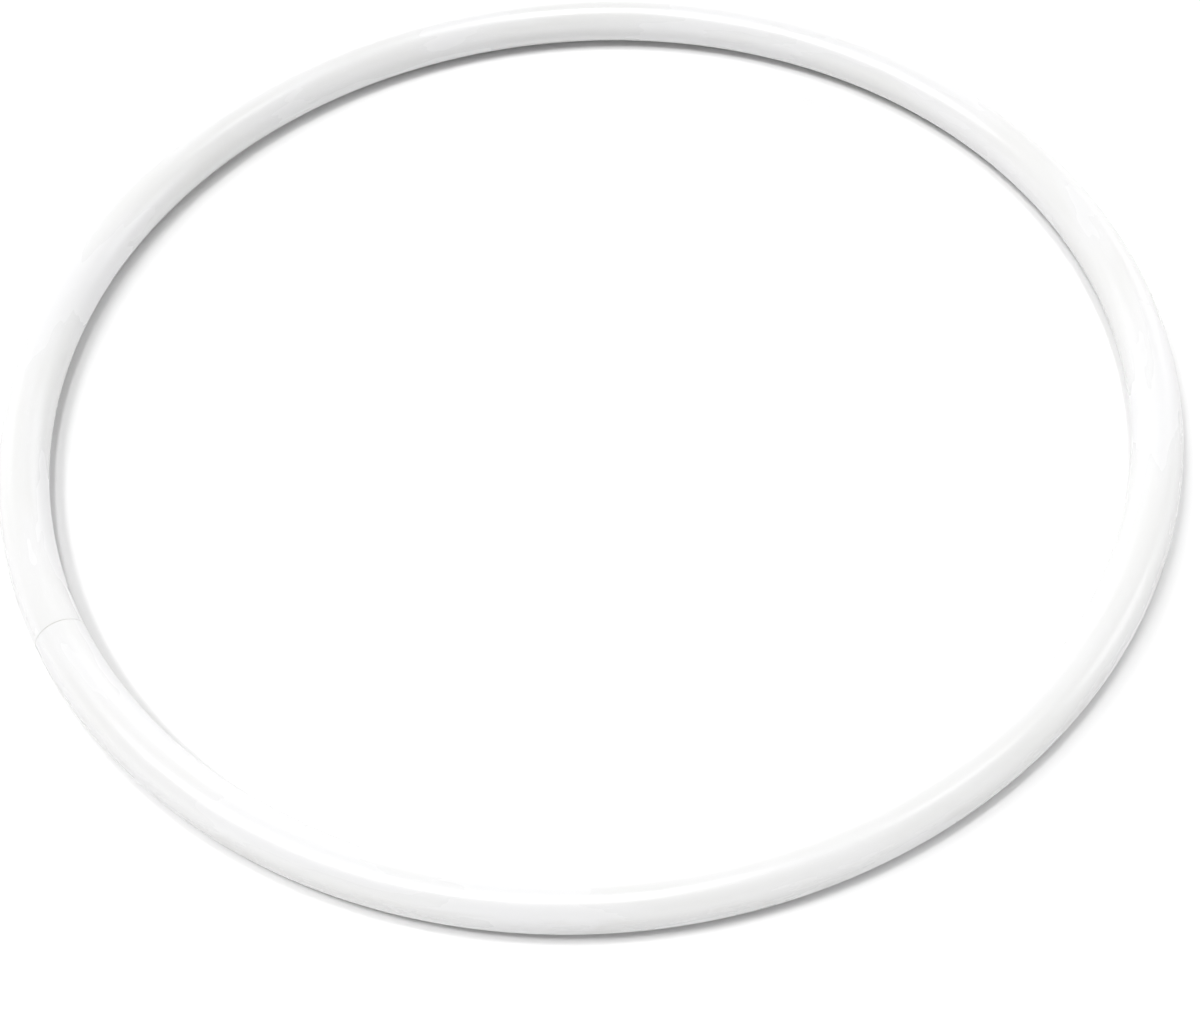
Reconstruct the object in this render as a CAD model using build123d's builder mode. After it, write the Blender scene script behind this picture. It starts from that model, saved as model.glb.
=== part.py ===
from build123d import *

import math
import os

# Rhythmic gymnastics hoop, lying flat on the floor.
#
# One length of extruded plastic tube is bent round into a ring, and its two ends meet at a butt joint.
# A ribbed plug inside the tube bridges that joint, and two countersunk drive pins hold the plug, one on
# each side of the joint, driven from the inside of the ring so that the rolling face stays smooth.
#
# The origin is the centre of the circle on which the hoop touches the floor, and +Z is up along the
# ring's axis. Sizes are in millimetres and angles in degrees, counted from +X towards +Y.

# The ring and its tube
HOOP_OUTER_DIAMETER = 500.0
TUBE_DIAMETER = 21.0
TUBE_WALL = 1.8
TUBE_RADIUS = TUBE_DIAMETER / 2
BORE_RADIUS = TUBE_RADIUS - TUBE_WALL
RING_RADIUS = HOOP_OUTER_DIAMETER / 2 - TUBE_RADIUS  # to the middle of the tube

# The butt joint
JOINT_ANGLE = -155.0
BUTT_GAP = 0.1
DEBURR = 0.15  # rounding on the rims of the cut ends

# The plug inside the joint
PLUG_LENGTH = 100.0
PLUG_RADIUS = BORE_RADIUS - 0.4
PLUG_LEAD_IN = 1.2
RIB_RADIUS = BORE_RADIUS - 0.03
RIB_WIDTH = 3.0
RIBS_EACH_SIDE = 4
RIB_PITCH = 11.0
CORE_RADIUS = 4.5
CORE_DEPTH = 22.0

# The drive pins
PIN_SHANK_RADIUS = 1.0
PIN_HEAD_RADIUS = 2.25
PIN_LENGTH = 9.0
PIN_POINT = 1.6
PIN_HEAD_ANGLE = 90.0
PIN_SUNK = 0.3  # the head's face lies this far under the tube's innermost line
PIN_FROM_JOINT = 20.0
PIN_CLEARANCE = 0.05  # round the shank, in the tube's wall only


def arc_angle(length):
    """The angle that a length along the middle of the tube spans."""
    return math.degrees(length / RING_RADIUS)


def outwards(angle):
    """The direction away from the ring's axis at an angle from +X."""
    return Vector(1, 0, 0).rotate(Axis.Z, angle)


def section_plane(angle):
    """The plane that cuts the tube square at an angle, its x away from the ring's axis and its y up."""
    middle = outwards(angle) * RING_RADIUS + Vector(0, 0, TUBE_RADIUS)
    return Plane(origin=middle, x_dir=outwards(angle), z_dir=outwards(angle).cross(Vector(0, 0, 1)))


def pin_plane(angle):
    """The plane of a pin head's face, facing the ring's axis."""
    face_radius = RING_RADIUS - TUBE_RADIUS + PIN_SUNK
    face_centre = outwards(angle) * face_radius + Vector(0, 0, TUBE_RADIUS)
    return Plane(origin=face_centre, x_dir=(0, 0, 1), z_dir=-outwards(angle))


gap_angle = arc_angle(BUTT_GAP)
pin_angles = {
    "left": JOINT_ANGLE - arc_angle(PIN_FROM_JOINT),
    "right": JOINT_ANGLE + arc_angle(PIN_FROM_JOINT),
}

# The tube: a ring that is open only at the butt joint, with a countersunk hole for each pin.
with BuildPart() as hoop_tube:
    with BuildSketch(section_plane(JOINT_ANGLE + gap_angle / 2)):
        Circle(TUBE_RADIUS)
        Circle(BORE_RADIUS, mode=Mode.SUBTRACT)
    revolve(axis=Axis.Z, revolution_arc=360 - gap_angle)
    fillet(faces().filter_by(GeomType.PLANE).edges(), DEBURR)
    for angle in pin_angles.values():
        with Locations(pin_plane(angle)):
            CounterSinkHole(
                radius=PIN_SHANK_RADIUS + PIN_CLEARANCE,
                counter_sink_radius=PIN_HEAD_RADIUS,
                depth=2 * TUBE_WALL,
                counter_sink_angle=PIN_HEAD_ANGLE,
            )

# The plug: ribbed where it grips the bore, cored at both ends, solid where the pins go.
with BuildPart() as joint_plug:
    plug_start = JOINT_ANGLE - arc_angle(PLUG_LENGTH / 2)
    with BuildSketch(section_plane(plug_start)):
        Circle(PLUG_RADIUS)
    revolve(axis=Axis.Z, revolution_arc=arc_angle(PLUG_LENGTH))
    chamfer(faces().filter_by(GeomType.PLANE).edges(), PLUG_LEAD_IN)
    for number in range(2 * RIBS_EACH_SIDE):
        rib_middle = (number - RIBS_EACH_SIDE + 0.5) * RIB_PITCH
        with BuildSketch(section_plane(JOINT_ANGLE + arc_angle(rib_middle - RIB_WIDTH / 2))):
            Circle(RIB_RADIUS)
        revolve(axis=Axis.Z, revolution_arc=arc_angle(RIB_WIDTH))
    for core_start in (plug_start, plug_start + arc_angle(PLUG_LENGTH - CORE_DEPTH)):
        with BuildSketch(section_plane(core_start)):
            Circle(CORE_RADIUS)
        revolve(axis=Axis.Z, revolution_arc=arc_angle(CORE_DEPTH), mode=Mode.SUBTRACT)
    for angle in pin_angles.values():
        with Locations(pin_plane(angle)):
            Hole(radius=PIN_SHANK_RADIUS, depth=PIN_LENGTH)


def drive_pin(angle):
    """A countersunk pin with a short point, its head's face on the pin plane at an angle."""
    head_depth = (PIN_HEAD_RADIUS - PIN_SHANK_RADIUS) / math.tan(math.radians(PIN_HEAD_ANGLE / 2))
    with BuildPart() as pin:
        with BuildSketch(Plane.XZ):
            with BuildLine():
                Polyline(
                    (0, 0),
                    (PIN_HEAD_RADIUS, 0),
                    (PIN_SHANK_RADIUS, -head_depth),
                    (PIN_SHANK_RADIUS, PIN_POINT - PIN_LENGTH),
                    (0, -PIN_LENGTH),
                    close=True,
                )
            make_face()
        revolve(axis=Axis.Z)
    return pin_plane(angle).location * pin.part


os.makedirs("parts", exist_ok=True)

hoop_tube.part.label = "hoop_tube"
joint_plug.part.label = "joint_plug"
export_step(hoop_tube.part, "parts/hoop_tube.step")
export_step(joint_plug.part, "parts/joint_plug.step")
for side, angle in pin_angles.items():
    joint_pin = drive_pin(angle)
    joint_pin.label = f"joint_pin_{side}"
    export_step(joint_pin, f"parts/joint_pin_{side}.step")
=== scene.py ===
import math

import bpy
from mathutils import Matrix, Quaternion, Vector


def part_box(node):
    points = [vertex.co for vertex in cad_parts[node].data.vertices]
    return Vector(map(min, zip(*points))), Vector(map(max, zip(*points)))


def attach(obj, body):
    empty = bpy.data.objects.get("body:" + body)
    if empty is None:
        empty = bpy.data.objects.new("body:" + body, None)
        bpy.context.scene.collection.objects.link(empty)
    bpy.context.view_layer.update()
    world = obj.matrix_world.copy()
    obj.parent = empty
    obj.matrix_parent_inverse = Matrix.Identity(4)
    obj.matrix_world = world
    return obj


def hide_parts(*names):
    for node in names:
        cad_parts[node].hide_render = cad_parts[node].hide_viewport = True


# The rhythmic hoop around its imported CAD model, in metres. The tube is built again here as a finer closed
# mesh with its butt joint and its two countersunk pin holes. The plug and the pins stay CAD nodes.

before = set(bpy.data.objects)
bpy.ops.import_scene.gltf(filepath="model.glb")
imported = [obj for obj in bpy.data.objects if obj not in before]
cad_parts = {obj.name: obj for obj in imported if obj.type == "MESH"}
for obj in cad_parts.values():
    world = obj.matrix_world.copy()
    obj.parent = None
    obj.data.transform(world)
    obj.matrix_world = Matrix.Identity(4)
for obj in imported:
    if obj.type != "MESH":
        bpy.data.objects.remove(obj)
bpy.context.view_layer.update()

MM = 0.001

# The ring, from the frame
tube_low, tube_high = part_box("hoop_tube")
TUBE_RADIUS = (tube_high.z - tube_low.z) / 2
RING_RADIUS = (tube_high.x - tube_low.x) / 2 - TUBE_RADIUS


def angle_of(point):
    """A point's angle round the ring's axis, from +X towards +Y, in radians."""
    return math.atan2(point.y, point.x)


def pin_tip(name):
    """A pin's point, which lies on the pin's own axis: its vertex farthest from the ring's axis."""
    places = [vertex.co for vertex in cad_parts[name].data.vertices]
    return max(places, key=lambda place: math.hypot(place.x, place.y))


PIN_NODES = ("joint_pin_left", "joint_pin_right")
PIN_ANGLES = [angle_of(pin_tip(node)) for node in PIN_NODES]
JOINT_ANGLE = sum(PIN_ANGLES) / len(PIN_ANGLES)

# The tube's own details, as the CAD part has them
TUBE_WALL = 1.8 * MM
BORE_RADIUS = TUBE_RADIUS - TUBE_WALL
BUTT_GAP = 0.1 * MM
RIM_ROUNDING = 0.15 * MM
TUBE_LENGTH = 2 * math.pi * RING_RADIUS - BUTT_GAP

# A pin's countersunk hole
pin_low, pin_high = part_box(PIN_NODES[0])
HEAD_RADIUS = (pin_high.z - pin_low.z) / 2
HEAD_CLEARANCE = 0.04 * MM
HEAD_HOLE = HEAD_RADIUS + HEAD_CLEARANCE
SHANK_HOLE = 1.05 * MM
HEAD_SUNK = 0.3 * MM
HEAD_FACE = RING_RADIUS - TUBE_RADIUS + HEAD_SUNK  # from the ring's axis
HEAD_WALL = 0.08 * MM  # from the head's face down to the cone
HOLE_ROUNDING = 0.05 * MM

# How finely the tube is divided
SECTION_POINTS = 72
FINE_REACH = 30 * MM  # on each side of the joint
FINE_STEP = 1.0 * MM
COARSE_STEP = 3.2 * MM
SUPPORT = 0.12 * MM  # from a rounding to the loop that keeps its shading local
ROUNDING_STEPS = 3  # in a quarter round
PATCH_HALF = 4  # a pin hole's patch reaches this many cells each way
PATCH_LOOPS = 3
SHARP_ANGLE = math.radians(35)

# The camera: its distance and its aim in ring radii, its sensor and lens in millimetres
CAMERA_DISTANCE = 4.03
CAMERA_AIM = (0.009, -0.217, 0)
CAMERA_ELEVATION = math.radians(50.7)
CAMERA_ROLL = math.radians(-4.8)
CAMERA_SENSOR = 36
CAMERA_LENS = 67.2
CAMERA_NEAR = 0.01
CAMERA_FAR = 50

# The materials' colours
PLASTIC = (0.775, 0.775, 0.77, 1)
PLASTIC_PALER = (0.8, 0.8, 0.805, 1)
SCUFF = (0.69, 0.685, 0.67, 1)
RIM_DUST = (0.66, 0.65, 0.63, 1)
NYLON = (0.76, 0.755, 0.72, 1)
NYLON_PALER = (0.81, 0.805, 0.78, 1)
DRAG_MARK = (0.68, 0.67, 0.64, 1)
STEEL = (0.6, 0.6, 0.6, 1)
STEEL_PALER = (0.66, 0.655, 0.65, 1)
STEEL_RUBBED = (0.78, 0.78, 0.78, 1)
FLOOR = (0.86, 0.86, 0.86, 1)
FLOOR_PALER = (0.88, 0.88, 0.88, 1)

# How deep the materials' relief is
ORANGE_PEEL_DEPTH = 0.02 * MM
DRAW_LINE_DEPTH = 0.008 * MM
SCRATCH_DEPTH = 0.012 * MM
NYLON_GRAIN_DEPTH = 0.02 * MM
DRAG_DEPTH = 0.03 * MM
TURNED_RING_DEPTH = 0.012 * MM
STEEL_SCRATCH_DEPTH = 0.006 * MM
FLOOR_GRAIN_DEPTH = 0.01 * MM

RIM_DUST_REACH = 0.6 * MM  # from a cut end
TURNED_RINGS = 7000.0  # in a metre out from a pin's axis

# The floor, and how bright the studio round it is, with the elevations in degrees where that changes
FLOOR_HALF = 60.0
HORIZON = 1.2
HORIZON_FADES = (10, 20)
SILK = 0.1
SILK_STARTS = (45, 55)


def make_camera():
    """The camera at the photograph's place: above and in front, tilted a little."""
    camera = bpy.data.cameras.new("camera")
    camera.sensor_width = CAMERA_SENSOR
    camera.lens = CAMERA_LENS
    camera.clip_start = CAMERA_NEAR
    camera.clip_end = CAMERA_FAR
    camera_object = bpy.data.objects.new("camera", camera)
    bpy.context.scene.collection.objects.link(camera_object)
    back = Vector((0, -math.cos(CAMERA_ELEVATION), math.sin(CAMERA_ELEVATION)))
    camera_object.location = back * (CAMERA_DISTANCE * RING_RADIUS)
    sight = Vector(CAMERA_AIM) * RING_RADIUS - camera_object.location
    tilt = Quaternion((0, 0, 1), CAMERA_ROLL)
    camera_object.rotation_mode = "QUATERNION"
    camera_object.rotation_quaternion = sight.to_track_quat("-Z", "Y") @ tilt
    bpy.context.scene.camera = camera_object


# ---- The tube's mesh ----


def ring_point(along, around, radius):
    """The point at a distance along the tube from one cut end, an angle round its section and a radius."""
    turn = JOINT_ANGLE + (BUTT_GAP / 2 + along) / RING_RADIUS
    reach = RING_RADIUS + radius * math.cos(around)
    return Vector((reach * math.cos(turn), reach * math.sin(turn), TUBE_RADIUS + radius * math.sin(around)))


def stations():
    """Distances along the tube from one rim rounding to the other, finer near the joint."""
    fine = [RIM_ROUNDING, RIM_ROUNDING + SUPPORT]
    fine += [FINE_STEP * number for number in range(1, round(FINE_REACH / FINE_STEP) + 1)]
    middle = TUBE_LENGTH - 2 * FINE_REACH
    steps = round(middle / COARSE_STEP)
    coarse = [FINE_REACH + middle * number / steps for number in range(1, steps)]
    return fine + coarse + [TUBE_LENGTH - along for along in reversed(fine)]


def rim(side_along, direction):
    """(along, radius) points over one cut end, from the outer surface to the bore."""
    points = []
    for number in range(1, ROUNDING_STEPS + 1):
        turn = math.radians(90 * number / ROUNDING_STEPS)
        drop = RIM_ROUNDING * (1 - math.cos(turn))
        points.append((RIM_ROUNDING * (1 - math.sin(turn)), TUBE_RADIUS - drop))
    inner = [(along, BORE_RADIUS + TUBE_RADIUS - radius) for along, radius in reversed(points)]
    middle = [(0.0, TUBE_RADIUS - RIM_ROUNDING - SUPPORT), (0.0, BORE_RADIUS + RIM_ROUNDING + SUPPORT)]
    return [(side_along + direction * along, radius) for along, radius in points + middle + inner]


def in_pin_frame(point, turn):
    """A point's sideways and upward offset from the axis of the pin at an angle."""
    return point.y * math.cos(turn) - point.x * math.sin(turn), point.z - TUBE_RADIUS


def from_pin_frame(turn, depth, side, height):
    """The point at a distance from the ring's axis along a pin, and its offsets from the pin's axis."""
    return Vector((
        depth * math.cos(turn) - side * math.sin(turn),
        depth * math.sin(turn) + side * math.cos(turn),
        TUBE_RADIUS + height,
    ))


def surface_depth(radius, side, height):
    """How far from the ring's axis, along a pin, the inner side of a torus of a tube radius lies."""
    reach = RING_RADIUS - math.sqrt(radius ** 2 - height ** 2)
    return math.sqrt(reach ** 2 - side ** 2)


def block_cells(row, column):
    """The faces' (row, column) in the block round a grid point."""
    span = range(-PATCH_HALF, PATCH_HALF)
    return {(row + down, column + across) for down in span for across in span}


def block_edge(row, column):
    """The (row, column) of the grid points round the edge of that block, in order."""
    half, count = PATCH_HALF, 2 * PATCH_HALF
    edge = [(row - half + number, column - half) for number in range(count)]
    edge += [(row + half, column - half + number) for number in range(count)]
    edge += [(row + half - number, column + half) for number in range(count)]
    edge += [(row - half, column + half - number) for number in range(count)]
    return edge


def circle_offsets(radius):
    """Sideways and upward offsets round a circle, in the order of the outer surface's block edge."""
    count = 8 * PATCH_HALF
    first_corner = math.radians(225)
    turns = [first_corner + 2 * math.pi * number / count for number in range(count)]
    return [(radius * math.cos(turn), -radius * math.sin(turn)) for turn in turns]


def surface_loop(turn, tube_radius, hole_radius, sunk=0.0):
    """A circle about a pin's axis that lies on the tube's surface, or is sunk under it."""
    offsets = circle_offsets(hole_radius)
    deeper = [surface_depth(tube_radius, side, height) + sunk for side, height in offsets]
    return [from_pin_frame(turn, depth, *offset) for depth, offset in zip(deeper, offsets)]


def flat_loop(turn, depth, hole_radius):
    """A flat circle about a pin's axis."""
    return [from_pin_frame(turn, depth, *offset) for offset in circle_offsets(hole_radius)]


def morph_loops(turn, tube_radius, edge_points, hole_radius):
    """Loops on the tube's surface between a block's square edge and a round hole, which are left out."""
    starts = [in_pin_frame(point, turn) for point in edge_points]
    loops = []
    for number in range(1, PATCH_LOOPS + 1):
        share = number / (PATCH_LOOPS + 1)
        loop = []
        for (side, height), (round_side, round_height) in zip(starts, circle_offsets(hole_radius)):
            side += (round_side - side) * share
            height += (round_height - height) * share
            loop.append(from_pin_frame(turn, surface_depth(tube_radius, side, height), side, height))
        loops.append(loop)
    return loops


def hole_loops(turn, outer_edge, bore_edge):
    """The loops through a pin's hole, from next to the outer surface's block edge to next to the bore's."""
    support = HEAD_HOLE + HOLE_ROUNDING + SUPPORT
    loops = morph_loops(turn, TUBE_RADIUS, outer_edge, support)
    loops.append(surface_loop(turn, TUBE_RADIUS, support))
    for number in range(ROUNDING_STEPS + 1):
        lean = math.radians(90 * number / ROUNDING_STEPS)
        wider = HOLE_ROUNDING * (1 - math.sin(lean))
        deeper = HOLE_ROUNDING * (1 - math.cos(lean))
        loops.append(surface_loop(turn, TUBE_RADIUS, HEAD_HOLE + wider, deeper))
    cone_start = HEAD_FACE + HEAD_WALL
    loops.append(flat_loop(turn, cone_start, HEAD_HOLE))
    loops.append(flat_loop(turn, cone_start + HEAD_HOLE - SHANK_HOLE, SHANK_HOLE))
    loops.append(surface_loop(turn, BORE_RADIUS, SHANK_HOLE))
    loops += reversed(morph_loops(turn, BORE_RADIUS, bore_edge, SHANK_HOLE))
    return loops


def nearest_row(profile, along, radius):
    """The profile's row on a surface that is nearest to a distance along the tube."""
    rows = [row for row in range(len(profile)) if profile[row][1] == radius]
    return min(rows, key=lambda row: abs(profile[row][0] - along))


def build_tube():
    """The hollow tube as one closed mesh of quads, with its butt joint and its two pin holes."""
    outside = [(along, TUBE_RADIUS) for along in stations()]
    inside = [(along, BORE_RADIUS) for along in reversed(stations())]
    profile = outside + rim(TUBE_LENGTH, -1) + inside + list(reversed(rim(0.0, 1)))
    step = 2 * math.pi / SECTION_POINTS
    points = []
    for along, radius in profile:
        points += [ring_point(along, number * step, radius) for number in range(SECTION_POINTS)]

    opened = set()
    tunnels = []
    for turn in PIN_ANGLES:
        along = (turn - JOINT_ANGLE) * RING_RADIUS % (2 * math.pi * RING_RADIUS) - BUTT_GAP / 2
        outer_block = (nearest_row(profile, along, TUBE_RADIUS), SECTION_POINTS // 2)
        bore_block = (nearest_row(profile, along, BORE_RADIUS), SECTION_POINTS // 2)
        opened |= block_cells(*outer_block) | block_cells(*bore_block)
        outer_edge = [row * SECTION_POINTS + column for row, column in block_edge(*outer_block)]
        bore_edge = [row * SECTION_POINTS + column for row, column in block_edge(*bore_block)]
        # The bore's rows run the other way, so its edge is put in the outer edge's order.
        order = [(2 * PATCH_HALF - number) % len(bore_edge) for number in range(len(bore_edge))]
        bore_edge = [bore_edge[number] for number in order]
        loops = [outer_edge]
        for loop in hole_loops(turn, [points[i] for i in outer_edge], [points[i] for i in bore_edge]):
            loops.append(list(range(len(points), len(points) + len(loop))))
            points += loop
        tunnels.append(loops + [bore_edge])

    faces = []
    for row in range(len(profile)):
        following = (row + 1) % len(profile)
        for column in range(SECTION_POINTS):
            beside = (column + 1) % SECTION_POINTS
            if (row, column) not in opened:
                faces.append((
                    row * SECTION_POINTS + column,
                    following * SECTION_POINTS + column,
                    following * SECTION_POINTS + beside,
                    row * SECTION_POINTS + beside,
                ))
    for loops in tunnels:
        for near, far in zip(loops, loops[1:]):
            for number in range(len(near)):
                after = (number + 1) % len(near)
                faces.append((near[number], near[after], far[after], far[number]))

    # The points inside the opened blocks are left out.
    used = sorted({index for face in faces for index in face})
    place = {index: number for number, index in enumerate(used)}
    used_points = [points[index] for index in used]
    used_faces = [[place[index] for index in face] for face in faces]
    mesh = bpy.data.meshes.new("tube_shell")
    mesh.from_pydata(used_points, [], used_faces)
    mesh.update()
    for face in mesh.polygons:
        face.use_smooth = True
    mesh.set_sharp_from_angle(angle=SHARP_ANGLE)
    straighten(mesh)
    tube = bpy.data.objects.new("tube_shell", mesh)
    bpy.context.scene.collection.objects.link(tube)
    return tube


def straighten(mesh):
    """Store each point's place on the straight tube before it was bent: along it, outwards and upwards."""
    places = mesh.attributes.new("straight_tube", "FLOAT_VECTOR", "POINT")
    whole = 2 * math.pi * RING_RADIUS
    for vertex, place in zip(mesh.vertices, places.data):
        outward = math.hypot(vertex.co.x, vertex.co.y) - RING_RADIUS
        along = (angle_of(vertex.co) - JOINT_ANGLE) * RING_RADIUS % whole
        place.vector = (along, outward, vertex.co.z - TUBE_RADIUS)


# ---- Materials ----


def node(tree, kind, **settings):
    """A new shader node with its settings."""
    made = tree.nodes.new(kind)
    for name, value in settings.items():
        setattr(made, name, value)
    return made


def joined(tree, socket, value):
    """Link an output to a socket, or set the socket's plain value."""
    if isinstance(value, bpy.types.NodeSocket):
        tree.links.new(value, socket)
    else:
        socket.default_value = value


def maths(tree, operation, first, second=0.0):
    """One Math node's output."""
    made = node(tree, "ShaderNodeMath", operation=operation)
    joined(tree, made.inputs[0], first)
    joined(tree, made.inputs[1], second)
    return made.outputs[0]


def scaled(tree, vector, factors):
    """A vector with each coordinate multiplied by its own factor, per metre."""
    made = node(tree, "ShaderNodeVectorMath", operation="MULTIPLY")
    joined(tree, made.inputs[0], vector)
    made.inputs[1].default_value = factors
    return made.outputs[0]


def noise(tree, vector, detail=2.0, roughness=0.5):
    """Noise with features about as large as one unit of the vector."""
    made = node(tree, "ShaderNodeTexNoise")
    joined(tree, made.inputs["Vector"], vector)
    made.inputs["Scale"].default_value = 1.0
    made.inputs["Detail"].default_value = detail
    made.inputs["Roughness"].default_value = roughness
    return made.outputs["Fac"]


def ramp(tree, value, start, end, low=0.0, high=1.0):
    """A smooth rise from low to high while a value goes from start to end."""
    made = node(tree, "ShaderNodeMapRange", interpolation_type="SMOOTHSTEP")
    joined(tree, made.inputs["Value"], value)
    for name, number in (("From Min", start), ("From Max", end), ("To Min", low), ("To Max", high)):
        made.inputs[name].default_value = number
    return made.outputs["Result"]


def blended(tree, amount, first, second):
    """One colour turning into another."""
    made = node(tree, "ShaderNodeMix", data_type="RGBA")
    joined(tree, made.inputs["Factor"], amount)
    joined(tree, made.inputs["A"], first)
    joined(tree, made.inputs["B"], second)
    return made.outputs["Result"]


def bump(tree, height, distance, below=None):
    """Bump of a height from 0 to 1 over a distance in metres, on top of another bump."""
    made = node(tree, "ShaderNodeBump")
    joined(tree, made.inputs["Height"], height)
    made.inputs["Strength"].default_value = 1.0
    made.inputs["Distance"].default_value = distance
    if below is not None:
        joined(tree, made.inputs["Normal"], below)
    return made.outputs["Normal"]


def new_material(name):
    """A material with its tree and its Principled shader."""
    material = bpy.data.materials.new(name)
    material.use_nodes = True
    return material, material.node_tree, material.node_tree.nodes["Principled BSDF"]


def straight_place(tree):
    """The straight tube's coordinates in metres, and its three parts: along, outwards and upwards."""
    place = node(tree, "ShaderNodeAttribute", attribute_name="straight_tube").outputs["Vector"]
    parts = node(tree, "ShaderNodeSeparateXYZ")
    joined(tree, parts.inputs[0], place)
    return place, parts.outputs


def tube_plastic():
    """Glossy white extruded plastic: draw lines, orange peel, and dull scuffs where it rolls and rests."""
    material, tree, shader = new_material("tube_plastic")
    place, (along, outward, upward) = straight_place(tree)
    clouds = noise(tree, scaled(tree, place, (14, 60, 60)), detail=3)
    draw_lines = noise(tree, scaled(tree, place, (9, 2600, 2600)))
    orange_peel = noise(tree, scaled(tree, place, (420, 420, 420)))
    scratches = noise(tree, scaled(tree, place, (180, 3600, 3600)), detail=4, roughness=0.7)

    # Scuffs lie on the outermost line, which rolls, and underneath.
    rolling = ramp(tree, outward, 0.75 * TUBE_RADIUS, TUBE_RADIUS)
    resting = ramp(tree, maths(tree, "MULTIPLY", upward, -1.0), 0.8 * TUBE_RADIUS, TUBE_RADIUS)
    exposed = maths(tree, "MAXIMUM", rolling, resting)
    patches = noise(tree, scaled(tree, place, (55, 240, 240)), detail=4, roughness=0.65)
    scuffs = maths(tree, "MULTIPLY", exposed, ramp(tree, patches, 0.46, 0.68))

    # The rims of the two cut ends are a little worn and hold some dust.
    to_end = maths(tree, "MINIMUM", along, maths(tree, "SUBTRACT", 2 * math.pi * RING_RADIUS, along))
    by_end = ramp(tree, to_end, 0.0, RIM_DUST_REACH, 1.0, 0.0)
    rims = maths(tree, "MULTIPLY", by_end, ramp(tree, patches, 0.3, 0.6, 0.5))

    colour = blended(tree, ramp(tree, clouds, 0.35, 0.65), PLASTIC, PLASTIC_PALER)
    colour = blended(tree, maths(tree, "MULTIPLY", scuffs, 0.5), colour, SCUFF)
    colour = blended(tree, maths(tree, "MULTIPLY", rims, 0.5), colour, RIM_DUST)
    joined(tree, shader.inputs["Base Color"], colour)

    roughness = ramp(tree, clouds, 0.3, 0.7, 0.22, 0.3)
    roughness = maths(tree, "ADD", roughness, maths(tree, "MULTIPLY", scuffs, 0.28))
    roughness = maths(tree, "ADD", roughness, ramp(tree, scratches, 0.6, 0.75, 0.0, 0.12))
    joined(tree, shader.inputs["Roughness"], roughness)

    relief = bump(tree, orange_peel, ORANGE_PEEL_DEPTH)
    relief = bump(tree, draw_lines, DRAW_LINE_DEPTH, relief)
    relief = bump(tree, maths(tree, "MULTIPLY", scratches, exposed), SCRATCH_DEPTH, relief)
    joined(tree, shader.inputs["Normal"], relief)
    return material


def plug_nylon():
    """Matt, slightly yellow natural nylon, with moulding grain and drag marks from being pushed in."""
    material, tree, shader = new_material("plug_nylon")
    place = node(tree, "ShaderNodeTexCoord").outputs["Object"]
    clouds = noise(tree, scaled(tree, place, (120, 120, 120)), detail=3)
    grain = noise(tree, scaled(tree, place, (2200, 2200, 2200)), detail=3)
    turn = JOINT_ANGLE + math.pi / 2
    across = node(tree, "ShaderNodeVectorRotate", rotation_type="Z_AXIS")
    joined(tree, across.inputs["Vector"], place)
    across.inputs["Angle"].default_value = -turn
    drags = noise(tree, scaled(tree, across.outputs["Vector"], (60, 1500, 1500)), detail=3)
    colour = blended(tree, ramp(tree, clouds, 0.3, 0.7), NYLON, NYLON_PALER)
    colour = blended(tree, ramp(tree, drags, 0.6, 0.72, 0.0, 0.5), colour, DRAG_MARK)
    joined(tree, shader.inputs["Base Color"], colour)
    joined(tree, shader.inputs["Roughness"], ramp(tree, drags, 0.35, 0.7, 0.55, 0.4))
    relief = bump(tree, grain, NYLON_GRAIN_DEPTH)
    joined(tree, shader.inputs["Normal"], bump(tree, drags, DRAG_DEPTH, relief))
    return material


def pin_steel(pin_node, turn):
    """Stainless steel with rings turned round the pin's own axis, dulled and lightly scratched."""
    material, tree, shader = new_material(pin_node + "_steel")
    place = node(tree, "ShaderNodeTexCoord").outputs["Object"]
    sideways = node(tree, "ShaderNodeVectorMath", operation="DOT_PRODUCT")
    joined(tree, sideways.inputs[0], place)
    sideways.inputs[1].default_value = (-math.sin(turn), math.cos(turn), 0)
    parts = node(tree, "ShaderNodeSeparateXYZ")
    joined(tree, parts.inputs[0], place)
    height = maths(tree, "SUBTRACT", parts.outputs[2], TUBE_RADIUS)
    section = node(tree, "ShaderNodeCombineXYZ")
    joined(tree, section.inputs[0], sideways.outputs["Value"])
    joined(tree, section.inputs[1], height)
    from_axis = node(tree, "ShaderNodeVectorMath", operation="LENGTH")
    joined(tree, from_axis.inputs[0], section.outputs[0])
    ring_place = node(tree, "ShaderNodeCombineXYZ")
    joined(tree, ring_place.inputs[0], maths(tree, "MULTIPLY", from_axis.outputs["Value"], TURNED_RINGS))
    rings = noise(tree, ring_place.outputs[0], detail=1)
    clouds = noise(tree, scaled(tree, place, (900, 900, 900)), detail=3)
    scratches = noise(tree, scaled(tree, place, (800, 800, 9000)), detail=3, roughness=0.7)
    colour = blended(tree, ramp(tree, clouds, 0.3, 0.7), STEEL, STEEL_PALER)
    # The head's rim is rubbed bright.
    rim_wear = ramp(tree, from_axis.outputs["Value"], 0.86 * HEAD_RADIUS, 0.98 * HEAD_RADIUS)
    colour = blended(tree, maths(tree, "MULTIPLY", rim_wear, 0.7), colour, STEEL_RUBBED)
    joined(tree, shader.inputs["Base Color"], colour)
    shader.inputs["Metallic"].default_value = 1.0
    joined(tree, shader.inputs["Roughness"], ramp(tree, clouds, 0.3, 0.7, 0.26, 0.38))
    relief = bump(tree, rings, TURNED_RING_DEPTH)
    relief = bump(tree, ramp(tree, scratches, 0.55, 0.7), STEEL_SCRATCH_DEPTH, relief)
    joined(tree, shader.inputs["Normal"], relief)
    return material


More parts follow.
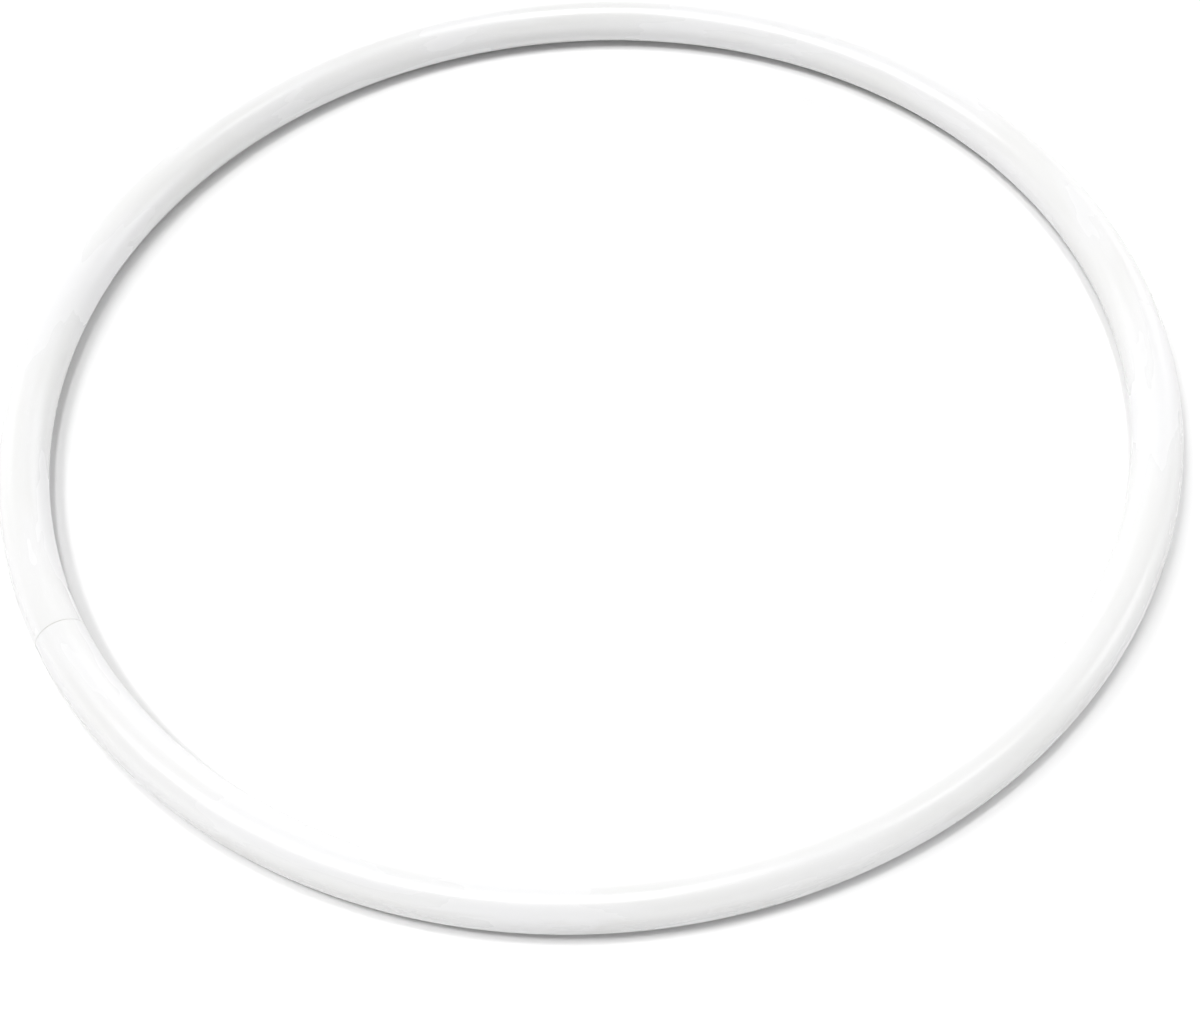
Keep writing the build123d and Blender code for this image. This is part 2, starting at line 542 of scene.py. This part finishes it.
def give_material(name, material):
    """Put a material in every slot of a CAD node."""
    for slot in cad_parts[name].material_slots:
        slot.material = material


# ---- Floor and light ----


def make_floor():
    """A plain pale floor with a fine matt grain."""
    mesh = bpy.data.meshes.new("floor")
    signs = ((-1, -1), (1, -1), (1, 1), (-1, 1))
    corners = [(x * FLOOR_HALF, y * FLOOR_HALF, 0) for x, y in signs]
    mesh.from_pydata(corners, [], [(0, 1, 2, 3)])
    floor = bpy.data.objects.new("floor", mesh)
    bpy.context.scene.collection.objects.link(floor)
    material, tree, shader = new_material("floor")
    place = node(tree, "ShaderNodeTexCoord").outputs["Object"]
    clouds = noise(tree, scaled(tree, place, (5, 5, 5)), detail=3)
    grain = noise(tree, scaled(tree, place, (900, 900, 900)))
    joined(tree, shader.inputs["Base Color"], blended(tree, clouds, FLOOR, FLOOR_PALER))
    joined(tree, shader.inputs["Roughness"], ramp(tree, clouds, 0.3, 0.7, 0.6, 0.7))
    joined(tree, shader.inputs["Normal"], bump(tree, grain, FLOOR_GRAIN_DEPTH))
    mesh.materials.append(material)


def lamp(name, azimuth, elevation, spread, strength):
    """A soft far-off lamp, its angles in degrees: azimuth from +X towards +Y, and spread as seen."""
    turn, rise = math.radians(azimuth), math.radians(elevation)
    direction = Vector((math.cos(turn) * math.cos(rise), math.sin(turn) * math.cos(rise), math.sin(rise)))
    light = bpy.data.lights.new(name, "SUN")
    light.angle = math.radians(spread)
    light.energy = strength
    lamp_object = bpy.data.objects.new(name, light)
    lamp_object.rotation_mode = "QUATERNION"
    lamp_object.rotation_quaternion = (-direction).to_track_quat("-Z", "Y")
    bpy.context.scene.collection.objects.link(lamp_object)


def sines(elevations):
    """The heights of unit directions at elevations in degrees."""
    return [math.sin(math.radians(elevation)) for elevation in elevations]


def make_world():
    """A studio round the floor: a bright horizon that fades upwards, and a wide dim silk overhead."""
    world = bpy.data.worlds.new("studio")
    world.use_nodes = True
    tree = world.node_tree
    background = tree.nodes["Background"]
    direction = node(tree, "ShaderNodeTexCoord").outputs["Generated"]
    parts = node(tree, "ShaderNodeSeparateXYZ")
    joined(tree, parts.inputs[0], direction)
    height = parts.outputs[2]
    horizon = ramp(tree, height, *sines(HORIZON_FADES), HORIZON, 0.0)
    silk = ramp(tree, height, *sines(SILK_STARTS), 0.0, SILK)
    joined(tree, background.inputs["Color"], maths(tree, "ADD", horizon, silk))
    bpy.context.scene.world = world


def make_light():
    """Soft studio light: most of it from the left and overhead, with low lights behind and at the right."""
    make_world()
    lamp("left_high", 180, 60, 24, 1.05)
    lamp("front_left_high", 210, 70, 10, 0.87)
    lamp("front_high", 270, 75, 10, 0.33)
    lamp("right_high", 0, 65, 16, 0.24)
    lamp("overhead", 0, 90, 8, 0.65)
    lamp("right_low", 0, 25, 24, 0.45)
    lamp("back_right_low", 45, 25, 24, 0.24)
    lamp("back_low", 90, 25, 32, 0.7)
    lamp("back_left_low", 135, 25, 24, 0.2)
    bpy.context.scene.view_settings.view_transform = "Standard"


make_camera()
tube = build_tube()
tube.data.materials.append(tube_plastic())
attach(tube, "root")
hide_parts("hoop_tube")
give_material("joint_plug", plug_nylon())
for pin_node, turn in zip(PIN_NODES, PIN_ANGLES):
    give_material(pin_node, pin_steel(pin_node, turn))
make_floor()
make_light()
